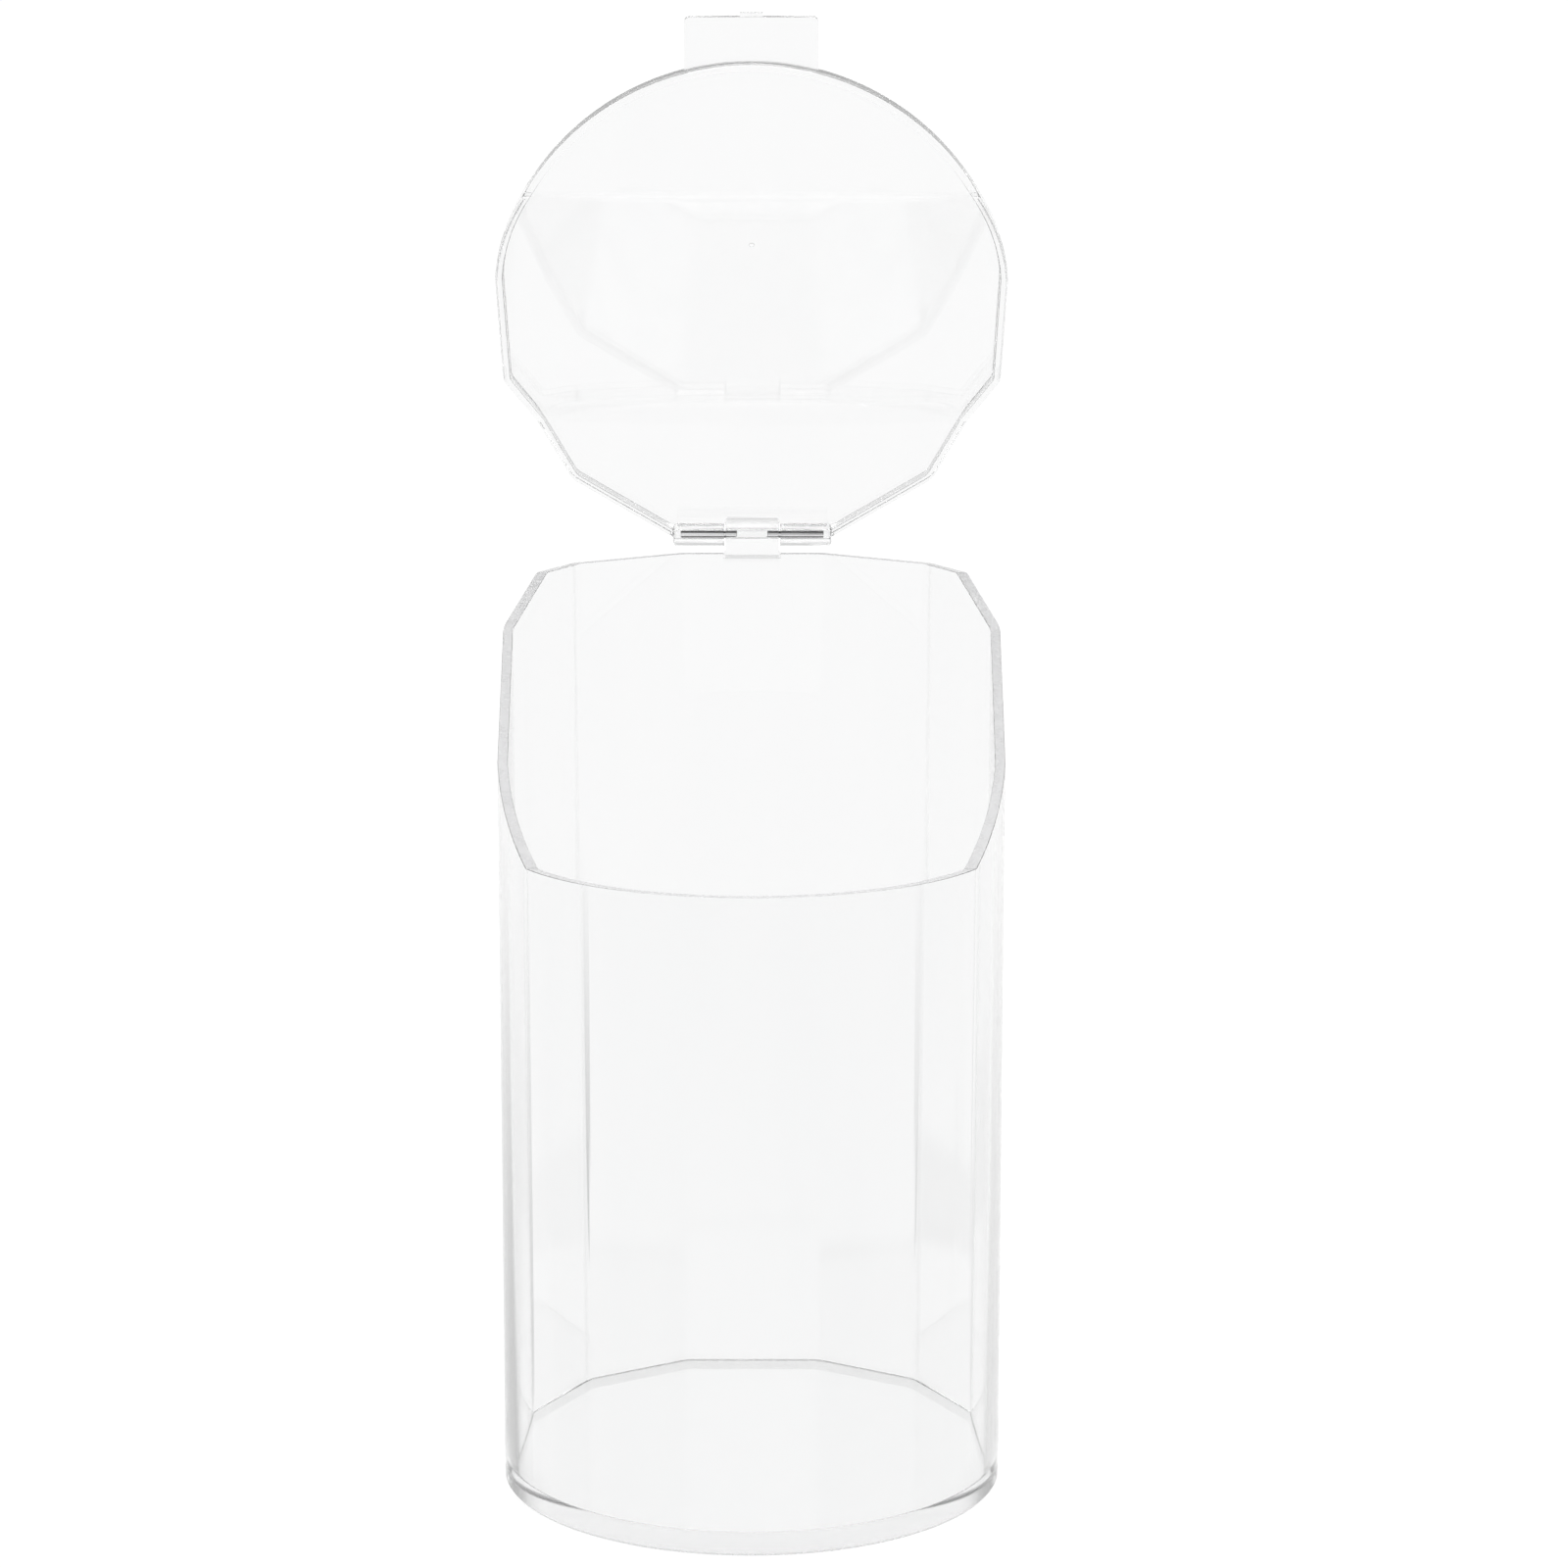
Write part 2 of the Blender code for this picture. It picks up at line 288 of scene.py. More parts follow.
@dataclass(frozen=True)
class RimLine:
    """The rim seen from the side: level in front, sloping, level at the back."""

    back_height: float = 0.1884
    front_height: float = 0.1375
    slope_back: float = 0.0258
    slope_front: float = -0.0354
    reach: float = 0.0900
    steps: int = 8

    def normals(self) -> list[Vector]:
        """Work out the directions in which the planes face.

        Returns:
            The three planes' normals, from the front to the back.
        """
        run = self.slope_back - self.slope_front
        rise = self.back_height - self.front_height
        slope = Vector((0, -rise, run)).normalized()
        return [Vector((0, 0, 1)), slope, Vector((0, 0, 1))]

    def folds(self, lift: float) -> list[Vector]:
        """Where the planes meet, in the middle of the holder.

        Args:
            lift: How far every plane is moved outwards.

        Returns:
            The front fold and the back fold.
        """
        normals = self.normals()
        places = [
            Vector((0, self.slope_front, self.front_height)),
            Vector((0, self.slope_back, self.back_height)),
        ]
        moved = []
        for place, one, other in zip(places, normals, normals[1:]):
            moved.append(place + lift * (one + other) / (1 + one.dot(other)))
        return moved

    def rounded(self, lift: float, front: float, back: float) -> Trace:
        """The line with its two folds rounded.

        Args:
            lift: How far every plane is moved outwards.
            front: The radius at the front fold.
            back: The radius at the back fold.

        Returns:
            The line, from the front to the back.
        """
        normals = self.normals()
        folds = self.folds(lift)
        points = [Vector((0, -self.reach, folds[0].z))]
        for step, (fold, radius) in enumerate(zip(folds, (front, back))):
            one, other = normals[step], normals[step + 1]
            turn = one.angle(other)
            inward = 1 if step == 0 else -1
            halfway = (one + other).normalized() * inward
            centre = fold + halfway * (radius / math.cos(turn / 2))
            for part in range(self.steps + 1):
                blend = turn * (part / self.steps - 0.5) * inward
                spin = Matrix.Rotation(blend, 3, "X")
                points.append(centre - spin @ (halfway * radius))
        points.append(Vector((0, self.reach, folds[1].z)))
        return Trace(points)


@dataclass(frozen=True)
class Trace:
    """A line seen from the side, along which standing walls are cut and closed."""

    points: list[Vector]

    def height(self, along: float) -> float:
        """Find the line's height.

        Args:
            along: The place along Y.

        Returns:
            The height there.
        """
        for near, far in zip(self.points, self.points[1:]):
            if along <= far.y:
                share = (along - near.y) / (far.y - near.y)
                return near.z + share * (far.z - near.z)
        return self.points[-1].z

    def trim(self, bench: Bench, keep_below: bool) -> None:
        """Cut a standing wall along the line and drop one side of it.

        Args:
            bench: The bench with the wall.
            keep_below: Whether the part under the line stays.
        """
        for point in self.points[1:-1]:
            bench.pick_all()
            bpy.ops.mesh.bisect(
                plane_co=point, plane_no=(0, 1, 0), threshold=CUT_SLACK
            )
        for near, far in zip(self.points, self.points[1:]):
            bench.pick(
                Part.FACES,
                lambda face: near.y < face.calc_center_median().y < far.y,
            )
            run = (far - near).normalized()
            bpy.ops.mesh.bisect(
                plane_co=near, plane_no=(0, -run.z, run.y), threshold=CUT_SLACK
            )
        sign = 1 if keep_below else -1

        def dropped(face: Face) -> bool:
            """Whether a face lies on the side that goes."""
            centre = face.calc_center_median()
            return sign * (centre.z - self.height(centre.y)) > 0

        bench.pick(Part.FACES, dropped)
        bpy.ops.mesh.delete(type="FACE")
        bench.clean()

    def close(self, bench: Bench, walls: int) -> None:
        """Close a wall's open end, or the gap between two walls, along the line.

        Args:
            bench: The bench with the wall, or with the outer and the inner wall.
            walls: How many walls there are, one or two.
        """
        halves = list(Side) if walls == 2 else [None]
        for point in self.points[1:-1]:
            for side in halves:
                bench.fill(
                    Part.VERTS,
                    lambda vert: on_side(vert.co, side) and self._at(vert, point),
                )
        stretches = list(zip(self.points, self.points[1:]))
        for step, (near, far) in enumerate(stretches):
            sloping = 0 < step < len(stretches) - 1
            for side in halves if sloping else [None]:
                bench.fill(
                    Part.EDGES,
                    lambda edge: len(edge.link_faces) < 2
                    and on_side(middle(edge), side)
                    and all(self._on(vert, near, far) for vert in edge.verts),
                )

    def _at(self, vert: Vert, point: Vector) -> bool:
        """Whether a vertex lies at one of the line's points, anywhere along X."""
        apart = abs(vert.co.y - point.y) + abs(vert.co.z - point.z)
        return apart < ON_PLANE

    def _on(self, vert: Vert, near: Vector, far: Vector) -> bool:
        """Test a vertex against one stretch.

        Args:
            vert: The vertex.
            near: The stretch's front end.
            far: Its back end.

        Returns:
            Whether the vertex lies on the stretch.
        """
        if not near.y - ON_PLANE < vert.co.y < far.y + ON_PLANE:
            return False
        return abs(vert.co.z - self.height(vert.co.y)) < ON_PLANE


@dataclass(frozen=True)
class HolderPlan:
    """The holder's outline from above: half twelve-sided, with a curved front."""

    half_width: float = 0.0525
    back_reach: float = 0.0525
    front_reach: float = 0.0620
    corner_radius: float = 0.0045
    corner_steps: int = 8
    front_steps: int = 96
    sides: int = 12
    corner_shares: tuple[Pair, ...] = (
        (0.295, 1.0),
        (0.738, 0.733),
        (1.0, 0.270),
        (1.0, -0.267),
    )

    def corners(self) -> list[Vector]:
        """Place the corners of the plan.

        Returns:
            The right-hand corners, from the back round to the front curve.
        """
        found = []
        for across, along in self.corner_shares:
            found.append(Vector((across * self.half_width, along * self.back_reach)))
        return found

    def front_centre(self) -> float:
        """Find the front curve's centre.

        Returns:
            Where the front curve's centre lies along Y.
        """
        side = self.corners()[-1]
        rise = side.x**2 + side.y**2 - self.front_reach**2
        return rise / (2 * (side.y + self.front_reach))

    def draw(self, name: str, height: float) -> Thing:
        """Draw the outline as a ring of edges.

        Args:
            name: The new object's name.
            height: The height at which the outline lies.

        Returns:
            The ring.
        """
        turn = math.pi / self.sides
        bpy.ops.mesh.primitive_circle_add(
            vertices=self.sides,
            radius=self.half_width / math.cos(turn),
            fill_type="NOTHING",
            location=(0, 0, height),
            rotation=(0, 0, turn),
        )
        ring = named(name)
        corners = self.corners()
        with Bench(ring) as bench:
            for step, corner in enumerate(corners):
                angle = turn * (2 * step + 1)
                reach = self.half_width / math.cos(turn)
                start = Vector((reach * math.sin(angle), reach * math.cos(angle)))
                bench.pick(Part.VERTS, lambda vert: at_corner(vert, start))
                bpy.ops.transform.resize(
                    value=(corner.x / start.x, corner.y / start.y, 1),
                    center_override=(0, 0, height),
                )
            last = corners[-1]
            bench.pick(Part.VERTS, lambda vert: vert.co.y < last.y - MERGE)
            bpy.ops.mesh.delete(type="VERT")
            self._sweep_front(bench, height)
            self._round_corners(bench)
        return ring

    def _sweep_front(self, bench: Bench, height: float) -> None:
        """Spin one side corner round to the other as the front curve.

        Args:
            bench: The bench with the ring.
            height: The height of the ring.
        """
        last = self.corners()[-1]
        centre = self.front_centre()
        bench.pick(
            Part.VERTS,
            lambda vert: vert.co.x > 0 and abs(vert.co.y - last.y) < MERGE,
        )
        bpy.ops.mesh.spin(
            steps=self.front_steps,
            angle=2 * math.atan2(last.x, centre - last.y),
            center=(0, centre, height),
            axis=(0, 0, 1),
        )
        bench.pick_all()
        bpy.ops.mesh.remove_doubles(threshold=MERGE)
        bench.pick_all()
        bpy.ops.mesh.edge_face_add()

    def _round_corners(self, bench: Bench) -> None:
        """Round the facets' corners and leave a bare ring.

        Args:
            bench: The bench with the ring.
        """
        chain = self.corners()
        chain.insert(0, Vector((-chain[0].x, chain[0].y)))
        for before, corner, after in zip(chain, chain[1:], chain[2:]):
            turn = (corner - before).angle(after - corner)
            bench.pick(Part.VERTS, lambda vert: at_corner(vert, corner))
            bpy.ops.mesh.bevel(
                affect="VERTICES",
                offset=self.corner_radius * math.tan(turn / 2),
                segments=self.corner_steps,
                profile=0.5,
            )
        bench.pick_all()
        bpy.ops.mesh.delete(type="ONLY_FACE")

    def wall(self, name: str, low: float, high: float, grow: float) -> Thing:
        """A thin standing wall along the outline.

        Args:
            name: The new object's name.
            low: The height of its lower edge.
            high: The height of its upper edge.
            grow: How far it stands outside the outline, negative for inside.

        Returns:
            The wall, open at both ends.
        """
        ring = self.draw(name, low)
        with Bench(ring) as bench:
            bench.pick_all()
            bench.extrude((0, 0, high - low))
            bench.point_out()
            bench.pick_all()
            bench.grow(grow)
        return ring


def join_walls(outer: Thing, inner: Thing) -> Thing:
    """Make one mesh of an outer and an inner wall.

    Args:
        outer: The outer wall, which stays.
        inner: The inner wall, which is used up.

    Returns:
        The outer wall with the inner one in its mesh.
    """
    activate(inner)
    outer.select_set(True)
    bpy.context.view_layer.objects.active = outer
    bpy.ops.object.join()
    return outer


@dataclass(frozen=True)
class HingeLine:
    """The line on which the lid turns, and the round parts along it."""

    y: float = 0.0525
    z: float = 0.1925
    barrel_radius: float = 0.00265
    barrel_length: float = 0.0111
    barrel_end_round: float = 0.0009
    barrel_end_steps: int = 5
    knuckle_width: float = 0.0116
    knuckle_radius: float = 0.0029
    knuckle_gap: float = 0.00035
    knuckle_clearance: float = 0.0004
    pin_radius: float = 0.0008
    pin_length: float = 0.0123
    pin_set_in: float = 0.0025
    pin_clearance: float = 0.0001
    steps: int = 64
    overrun: float = 0.0100

    @property
    def knuckle_half(self) -> float:
        """Half the knuckle's width."""
        return self.knuckle_width / 2

    @property
    def barrel_start(self) -> float:
        """Where a barrel begins, from the middle."""
        return self.knuckle_half + self.knuckle_gap

    @property
    def half(self) -> float:
        """Half the length of the whole hinge."""
        return self.barrel_start + self.barrel_length

    def rod(self, name: str, radius: float, start: float, end: float) -> Thing:
        """Make a round rod on the hinge line.

        Args:
            name: The new object's name.
            radius: Its radius.
            start: The place of its left end along X.
            end: The place of its right end along X.

        Returns:
            The rod.
        """
        bpy.ops.mesh.primitive_cylinder_add(
            vertices=self.steps,
            radius=radius,
            depth=end - start,
            location=((start + end) / 2, self.y, self.z),
            rotation=(0, math.pi / 2, 0),
        )
        return named(name)


def box(name: str, low: tuple[float, ...], high: tuple[float, ...]) -> Thing:
    """A block between two corners, to be shaped or cut with.

    Args:
        name: The new object's name.
        low: Its lowest corner.
        high: Its highest corner.

    Returns:
        The block.
    """
    size = Vector(high) - Vector(low)
    bpy.ops.mesh.primitive_cube_add(
        size=1, location=(Vector(low) + Vector(high)) / 2, scale=size
    )
    return named(name)


def shade(thing: Thing) -> None:
    """Smooth a piece's round faces and keep its flat faces flat.

    Args:
        thing: The piece.
    """
    activate(thing)
    bpy.ops.object.shade_smooth_by_angle(angle=SMOOTH_BELOW)
    step = thing.modifiers.new("flat_faces", "WEIGHTED_NORMAL")
    step.mode = "FACE_AREA"
    step.weight = 100
    step.keep_sharp = True
    bpy.ops.object.modifier_apply(modifier=step.name)


class NodeSheet:
    """The node tree of one material or of the sky while it is drawn up."""

    def __init__(self, owner: bpy.types.Material | bpy.types.World) -> None:
        """Open the owner's node tree.

        Args:
            owner: The material or the sky.
        """
        owner.use_nodes = True
        self.owner = owner
        self.tree = owner.node_tree

    def node(self, kind: str, **settings: object) -> bpy.types.Node:
        """Add a node.

        Args:
            kind: The node's type without its ShaderNode prefix.
            settings: Attributes to set on the node.

        Returns:
            The node.
        """
        made = self.tree.nodes.new("ShaderNode" + kind)
        for name, value in settings.items():
            setattr(made, name, value)
        return made

    def link(self, source: Socket | float, target: Socket) -> None:
        """Connect two sockets, or set a fixed number on the target.

        Args:
            source: A socket or a fixed number.
            target: The socket that takes it.
        """
        if isinstance(source, Socket):
            self.tree.links.new(source, target)
        else:
            target.default_value = source

    def calc(self, how: str, *terms: Socket | float) -> Socket:
        """Work out a value from one or two others.

        Args:
            how: The Math node's operation.
            terms: Sockets or fixed numbers.

        Returns:
            The result.
        """
        made = self.node("Math", operation=how)
        for term, target in zip(terms, made.inputs):
            self.link(term, target)
        return made.outputs[0]

    def ranged(
        self,
        source: Socket,
        span: Pair,
        ends: tuple[Socket | float, ...],
        blend: str = "LINEAR",
    ) -> Socket:
        """Lead a value from one level to another.

        Args:
            source: The value that is followed.
            span: Where the change begins and ends.
            ends: The level before it and after it.
            blend: How the level changes in between.

        Returns:
            The level.
        """
        fit = self.node("MapRange", interpolation_type=blend)
        values = (source, *span, *ends)
        names = ("Value", "From Min", "From Max", "To Min", "To Max")
        for name, value in zip(names, values):
            self.link(value, fit.inputs[name])
        return fit.outputs["Result"]

    def noise(self, stretch: Triple, detail: float) -> Socket:
        """A noise over the piece's own coordinates.

        Args:
            stretch: How many times a metre the pattern repeats along each axis.
            detail: The noise's detail.

        Returns:
            The noise's factor.
        """
        place = self.node("TexCoord")
        fit = self.node("Mapping")
        fit.inputs["Scale"].default_value = stretch
        grain = self.node("TexNoise")
        grain.inputs["Scale"].default_value = 1.0
        grain.inputs["Detail"].default_value = detail
        self.link(place.outputs["Object"], fit.inputs["Vector"])
        self.link(fit.outputs["Vector"], grain.inputs["Vector"])
        return grain.outputs["Fac"]

    def mottle(self, target: Socket, pattern: Socket, *colours: Triple) -> None:
        """Lead a colour that a pattern moves between two into a socket.

        Args:
            target: The socket that takes the colour.
            pattern: The pattern, from 0 to 1.
            colours: The colours at 0 and at 1.
        """
        mix = self.node("Mix", data_type="RGBA")
        for name, colour in zip(("A", "B"), colours):
            mix.inputs[name].default_value = (*colour, 1.0)
        self.link(pattern, mix.inputs["Factor"])
        self.link(mix.outputs["Result"], target)

    def blend(self, share: Socket, *shaders: bpy.types.Node) -> Socket:
        """Blend two shaders.

        Args:
            share: How much of the second one shows.
            shaders: The two shaders.

        Returns:
            The blended shader.
        """
        mix = self.node("MixShader")
        sources = (share, *(shader.outputs[0] for shader in shaders))
        for source, target in zip(sources, mix.inputs):
            self.link(source, target)
        return mix.outputs[0]

    def emboss(self, target: Socket, pattern: Socket, depth: float) -> None:
        """Lead fine relief from a pattern into a Normal socket.

        Args:
            target: The Normal socket.
            pattern: The pattern.
            depth: How deep the relief is, in metres.
        """
        relief = self.node("Bump")
        relief.inputs["Strength"].default_value = 1.0
        relief.inputs["Distance"].default_value = depth
        self.link(pattern, relief.inputs["Height"])
        self.link(relief.outputs["Normal"], target)


@dataclass(frozen=True)
class ClearStyrene:
    """Clear moulded plastic with faint flow waves and handling marks."""

    name: str
    tint: Triple = (0.982, 0.983, 0.983)
    cloud: Triple = (0.974, 0.976, 0.977)
    depth_colour: Triple = (0.0, 0.02, 0.03)
    depth_density: float = 0.4
    flow_stretch: Triple = (90.0, 90.0, 9.0)
    flow_detail: float = 2.0
    flow_depth: float = 0.0000003
    scuff_stretch: Triple = (700.0, 700.0, 700.0)
    scuff_detail: float = 3.0
    smooth: float = 0.0
    scuffed: float = 0.03
    refraction: float = 1.59
    clarity: float = 0.99

    def build(self) -> bpy.types.Material:
        """Draw up the material.

        Returns:
            The material.
        """
        sheet = NodeSheet(bpy.data.materials.new(self.name))
        surface = sheet.tree.nodes["Principled BSDF"].inputs
        surface["IOR"].default_value = self.refraction
        surface["Transmission Weight"].default_value = self.clarity
        flow = sheet.noise(self.flow_stretch, self.flow_detail)
        scuffs = sheet.noise(self.scuff_stretch, self.scuff_detail)
        waves = sheet.ranged(flow, NOISE_SPAN, (0.0, 1.0))
        sheet.mottle(surface["Base Color"], waves, self.tint, self.cloud)
        rough = sheet.ranged(scuffs, NOISE_SPAN, (self.smooth, self.scuffed))
        sheet.link(rough, surface["Roughness"])
        sheet.emboss(surface["Normal"], flow, self.flow_depth)
        depth = sheet.node("VolumeAbsorption")
        depth.inputs["Color"].default_value = (*self.depth_colour, 1.0)
        depth.inputs["Density"].default_value = self.depth_density
        end = sheet.tree.nodes["Material Output"]
        sheet.link(depth.outputs["Volume"], end.inputs["Volume"])
        return sheet.owner


def satin(name: str, clarity: float, **colours: Triple) -> ClearStyrene:
    """The same plastic where its surface is satin."""
    return ClearStyrene(name, clarity=clarity, smooth=0.15, scuffed=0.35, **colours)


@dataclass(frozen=True)
class DrawnSteel:
    """Drawn steel wire with fine lines and painted dark reflections along it."""

    name: str
    colour: Triple = (0.86, 0.86, 0.87)
    # Near-black streaks along the pin: painted reflections of dark surroundings.
    painted_reflection: Triple = (0.030, 0.029, 0.028)
    painted_reflection_stretch: Triple = (5.0, 1900.0, 1900.0)
    painted_reflection_detail: float = 1.0
    painted_reflection_cover: Pair = (-1.1, 2.3)
    line_stretch: Triple = (60.0, 5200.0, 5200.0)
    line_detail: float = 4.0
    line_depth: float = 0.000003
    smooth: float = 0.10
    rough: float = 0.22

    def build(self) -> bpy.types.Material:
        """Draw up the material.

        Returns:
            The material.
        """
        sheet = NodeSheet(bpy.data.materials.new(self.name))
        surface = sheet.tree.nodes["Principled BSDF"].inputs
        surface["Metallic"].default_value = 1.0
        lines = sheet.noise(self.line_stretch, self.line_detail)
        # The painted dark reflections, laid along the pin by a stretched noise.
        painted_reflections = sheet.noise(self.painted_reflection_stretch, self.painted_reflection_detail)
        painted_reflection_share = sheet.ranged(painted_reflections, NOISE_SPAN, self.painted_reflection_cover)
        sheet.mottle(surface["Base Color"], painted_reflection_share, self.colour, self.painted_reflection)
        rough = sheet.ranged(lines, NOISE_SPAN, (self.smooth, self.rough))
        sheet.link(rough, surface["Roughness"])
        sheet.emboss(surface["Normal"], lines, self.line_depth)
        return sheet.owner


def dress(thing: Thing, finish: ClearStyrene | DrawnSteel) -> None:
    """Give a piece its material and nothing else."""
    thing.data.materials.clear()
    thing.data.materials.append(finish.build())


def dress_faces(
    thing: Thing, finish: ClearStyrene, test: Callable[[Face], bool]
) -> int:
    """Give the faces that pass a test a finish of their own.

    Args:
        thing: The piece.
        finish: The finish of these faces.
        test: Takes a face and says whether it gets the finish.

    Returns:
        How many faces got it.
    """
    thing.data.materials.append(finish.build())
    with Bench(thing) as bench:
        count = bench.pick(Part.FACES, test)
        thing.active_material_index = len(thing.data.materials) - 1
        bpy.ops.object.material_slot_assign()
    return count


def stand_for(thing: Thing, body: str, node: str) -> None:
    """Let a piece ride on a body in place of a solid of the same name.

    Args:
        thing: The finished piece.
        body: The body that it moves with.
        node: The solid that it stands for, which is hidden.
    """
    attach(thing, body)
    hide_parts(node)
    log.info("%s rides on %s, %d faces", thing.name, body, len(thing.data.polygons))


@dataclass
class Cup:
    """The tall cup with its three-plane rim and the knuckle of the hinge."""

    plan: HolderPlan
    rim: RimLine
    hinge: HingeLine
    wall_at_rim: float = 0.0020
    wall_at_floor: float = 0.0026
    floor_thickness: float = 0.0045
    foot_round: float = 0.0006
    foot_steps: int = 5
    floor_round: float = 0.0003
    floor_steps: int = 3
    rim_round: float = 0.00015
    rim_steps: int = 3
    fold_round: float = 0.0010
    knuckle_outer_drop: float = 0.0060
    knuckle_inner_drop: float = 0.0022
    knuckle_flare: float = 0.0005
    flare_steps: int = 3
    trim_above: float = 0.0100
    finish: ClearStyrene = ClearStyrene("cup_clear_styrene")
    rim_finish: ClearStyrene = satin(
        "cup_satin_rim", 0.10, tint=(0.85, 0.85, 0.855), cloud=(0.81, 0.81, 0.815)
    )
    # A darker copy of the rim's satin, which paints shade onto the rim's slope.
    slope_painted_shade_finish: ClearStyrene = satin(
        "cup_satin_slope_painted_shade", 0.06, tint=(0.70, 0.70, 0.705), cloud=(0.65, 0.65, 0.655)
    )
    foot_finish: ClearStyrene = satin("cup_satin_foot", 0.40)

    def build(self) -> Thing:
        """Model the cup, dress it and hang it on its body.

        Returns:
            The finished cup.
        """
        cup = self._shell()
        knuckle = self._knuckle()
        merge(cup, knuckle, Join.ADD)
        bore_end = self.hinge.knuckle_half + self.hinge.overrun
        radius = self.hinge.pin_radius + self.hinge.pin_clearance
        merge(cup, self.hinge.rod("cup_bore", radius, -bore_end, bore_end), Join.CUT)
        shade(cup)
        dress(cup, self.finish)
        rim = dress_faces(cup, self.rim_finish, self._on_rim)
        slope = dress_faces(cup, self.slope_painted_shade_finish, self._on_slope)
        foot = dress_faces(cup, self.foot_finish, self._on_foot)
        log.info("cup faces: rim %d, slope %d, foot %d", rim, slope, foot)
        stand_for(cup, "container", "container")
        return cup

    def _on_rim(self, face: Face) -> bool:
        """Test a face against the rim's line.

        Args:
            face: The face.

        Returns:
            Whether the face is part of the rim's top.
        """
        centre = face.calc_center_median()
        line = self.rim.rounded(0, self.fold_round, self.fold_round)
        apart = abs(centre.z - line.height(centre.y))
        return apart < ON_PLANE and face.normal.z > UPWARD

    def _on_slope(self, face: Face) -> bool:
        """Whether a face is the rim's slope on one side or belongs to its folds."""
        return self._on_rim(face) and face.normal.y < -ON_PLANE

    def _on_foot(self, face: Face) -> bool:
        """Whether a face belongs to the foot's rounded edge."""
        centre = face.calc_center_median()
        return MERGE < centre.z < self.foot_round

    def _shell(self) -> Thing:
        """Model the wall, the floor and the rim.

        Returns:
            One closed solid.
        """
        top = self.rim.back_height + self.trim_above
        outer = self.plan.wall("cup", 0, top, 0)
        line = self.rim.rounded(0, self.fold_round, self.fold_round)
        with Bench(outer) as bench:
            line.trim(bench, keep_below=True)
            bench.fill(Part.EDGES, lambda edge: middle(edge).z < MERGE)
        taper = self.wall_at_floor - self.wall_at_rim
        taper *= self.trim_above / (self.rim.back_height - self.floor_thickness)
        inner = self.plan.wall(
            "cup_inside", self.floor_thickness, top, taper - self.wall_at_rim
        )
        with Bench(inner) as bench:
            level = self.floor_thickness + MERGE
            bench.pick(Part.VERTS, lambda vert: vert.co.z < level)
            bench.grow(self.wall_at_rim - taper - self.wall_at_floor)
            line.trim(bench, keep_below=True)
            bench.fill(Part.EDGES, lambda edge: middle(edge).z < level)
        cup = join_walls(outer, inner)
        with Bench(cup) as bench:
            line.close(bench, walls=2)
            bench.point_out()
            self._round_shell(bench)
        return cup

    def _round_shell(self, bench: Bench) -> None:
        """Round the foot, the inside of the floor and both edges of the rim.

        Args:
            bench: The bench with the piece.
        """
        low = self.rim.front_height / 2
        counts = []
        for start, end, radius, steps in (
            (low, math.inf, self.rim_round, self.rim_steps),
            (-MERGE, MERGE, self.foot_round, self.foot_steps),
            (MERGE, low, self.floor_round, self.floor_steps),
        ):
            counts.append(
                bench.round_edges(
                    lambda edge: bend(edge) > STEEP and start < middle(edge).z < end,
                    radius,
                    steps,
                )
            )
        log.info("cup edges rounded: rim %d, foot %d, floor %d", *counts)

    def _knuckle(self) -> Thing:
        """Model the knuckle, a round top on a foot that runs out into the wall.

        Returns:
            The knuckle.
        """
        hinge = self.hinge
        level = self.rim.back_height
        half = hinge.knuckle_half
        knuckle = hinge.rod("knuckle", hinge.knuckle_radius, -half, half)
        lean = hinge.knuckle_radius / (hinge.z - level + self.knuckle_outer_drop)
        buried = self.plan.back_reach - self.wall_at_rim / 2
        foot_drop = level - self.knuckle_inner_drop
        with Bench(knuckle) as bench:
            bench.pick_all()
            bpy.ops.mesh.bisect(
                plane_co=(0, hinge.y, hinge.z),
                plane_no=(0, 0, 1),
                use_fill=True,
                clear_inner=True,
                threshold=CUT_SLACK,
            )
            self._lower(bench, hinge.z, level + self.knuckle_flare, lean)
            height = level + self.knuckle_flare
            width = half
            for step in range(1, self.flare_steps + 1):
                angle = math.pi / 2 * step / self.flare_steps
                lower = level + self.knuckle_flare * (1 - math.sin(angle))
                wider = half + self.knuckle_flare * (1 - math.cos(angle))
                self._lower(bench, height, lower, lean)
                bpy.ops.transform.resize(
                    value=(wider / width, 1, 1), center_override=(0, hinge.y, lower)
                )
                height, width = lower, wider
            self._lower(bench, height, foot_drop, 0)
            outer_y = hinge.y + hinge.knuckle_radius - lean * (hinge.z - level)
            outer_foot = level - self.knuckle_outer_drop
            outer_foot -= (self.plan.back_reach - buried) / lean
            sink = outer_foot - foot_drop
            self._shift_row(bench, foot_drop, True, buried - outer_y, sink)
            inner_y = hinge.y - hinge.knuckle_radius
            self._shift_row(bench, foot_drop, False, buried - inner_y, 0)
            bench.point_out()
            bench.round_edges(
                lambda edge: bend(edge) > SHARP
                and abs(abs(middle(edge).x) - half) < MERGE
                and middle(edge).z > hinge.z - MERGE,
                self.rim_round,
            )
        return knuckle

    def _lower(self, bench: Bench, height: float, lower: float, lean: float) -> None:
        """Extrude the knuckle's flat underside down by one step.

        Args:
            bench: The bench with the knuckle.
            height: The height of the underside now.
            lower: The height to which it goes.
            lean: How far its outer edge moves in for each metre that it goes down.
        """
        bench.pick(
            Part.FACES,
            lambda face: abs(face.normal.z) > LEVEL
            and abs(face.calc_center_median().z - height) < MERGE,
        )
        bench.extrude((0, 0, lower - height))
        if lean:
            self._shift_row(bench, lower, True, lean * (lower - height), 0)
        bench.pick(Part.VERTS, lambda vert: abs(vert.co.z - lower) < MERGE)

